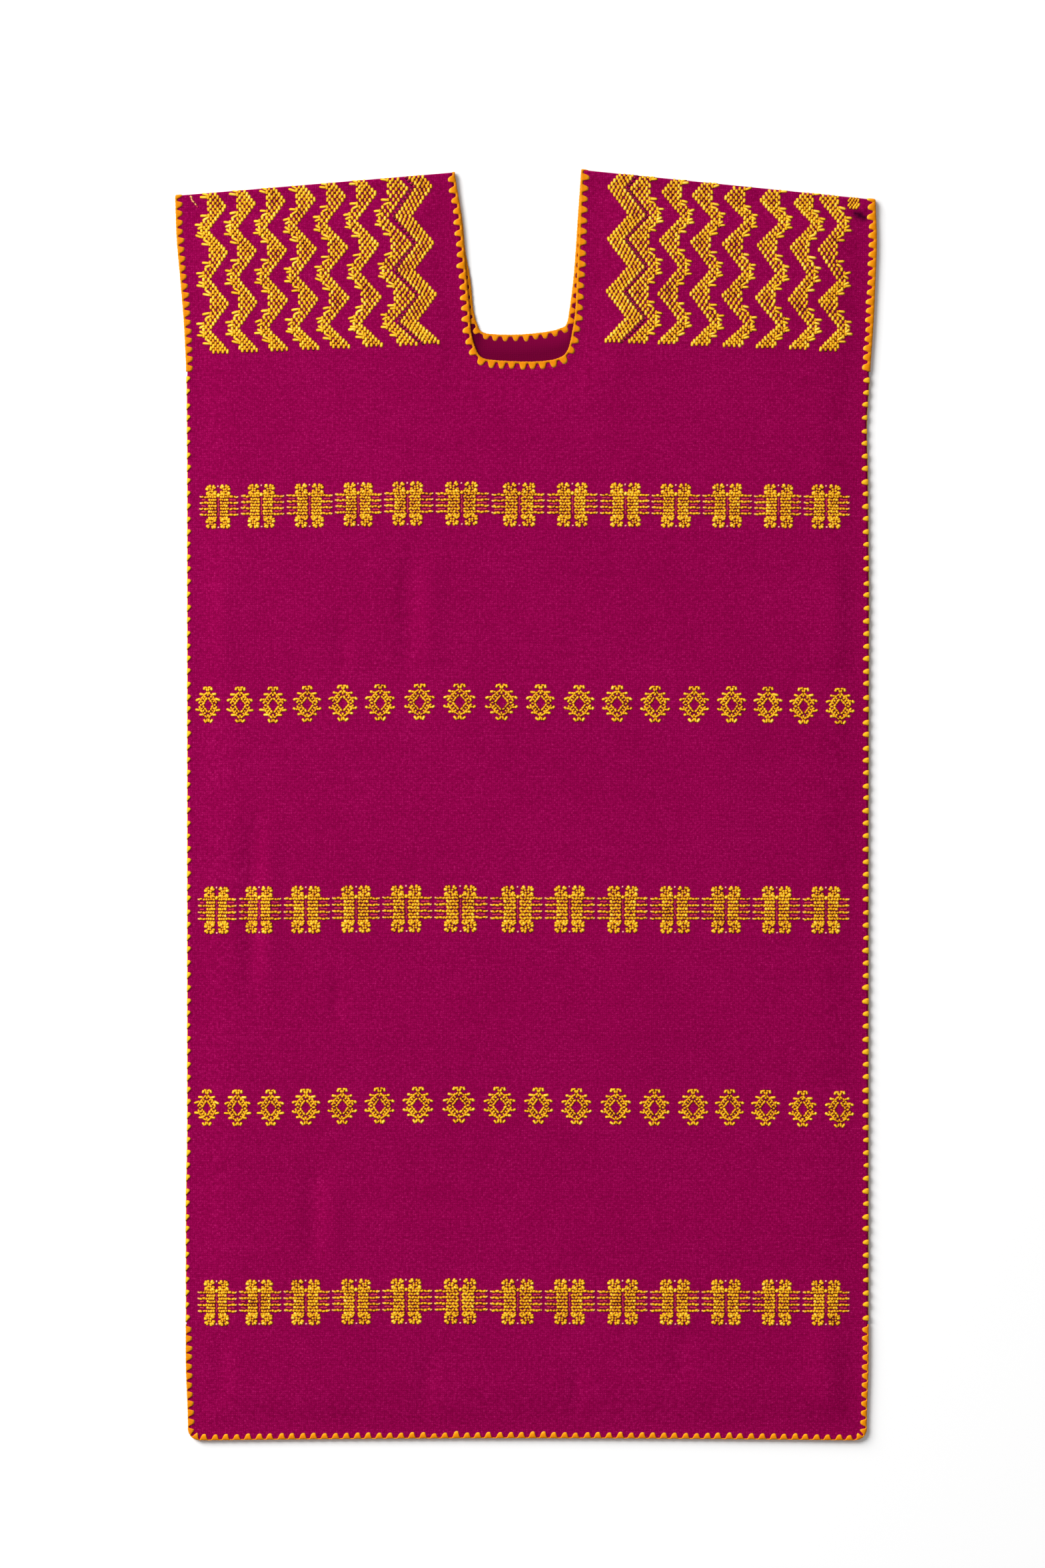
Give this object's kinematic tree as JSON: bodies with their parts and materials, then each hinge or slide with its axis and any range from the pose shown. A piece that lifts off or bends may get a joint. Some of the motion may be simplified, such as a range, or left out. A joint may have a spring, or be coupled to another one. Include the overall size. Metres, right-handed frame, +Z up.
{
  "type": "sleeveless handwoven kaftan laid flat",
  "caption": "Long sleeveless kaftan laid flat: a handwoven length folded at the shoulders, with a U neck, stitched edging, closed sides and hem slits.",
  "frame": {"origin": "middle of the underside of the whole part's box, on the surface that the kaftan lies on", "axes": "+Y from hem to shoulders, +X to the right as seen from above with the shoulders at the top, +Z up out of the front"},
  "size_m": [0.7364, 1.3332, 0.0055],
  "materials": {
    "cotton_ground": "matt handwoven plain-weave cotton dyed magenta, with gold brocade rows",
    "edging_yarn": "slightly glossy twisted cotton yarn, orange yellow",
    "seam_yarn": "slightly glossy twisted cotton yarn, yellow",
    "brocade_yarn": "glossy mercerised cotton yarn in raised brocade stitches, gold yellow"
  },
  "bodies": {
    "root": {"cloth": "cotton_ground", "neck_edging_front": "edging_yarn", "neck_edging_back": "edging_yarn", "armhole_edging_left_front": "edging_yarn", "armhole_edging_left_back": "edging_yarn", "armhole_edging_right_front": "edging_yarn", "armhole_edging_right_back": "edging_yarn", "side_seam_left": "seam_yarn", "side_seam_right": "seam_yarn", "hem_edging_front": "edging_yarn", "hem_edging_back": "edging_yarn"}
  },
  "joints": []
}
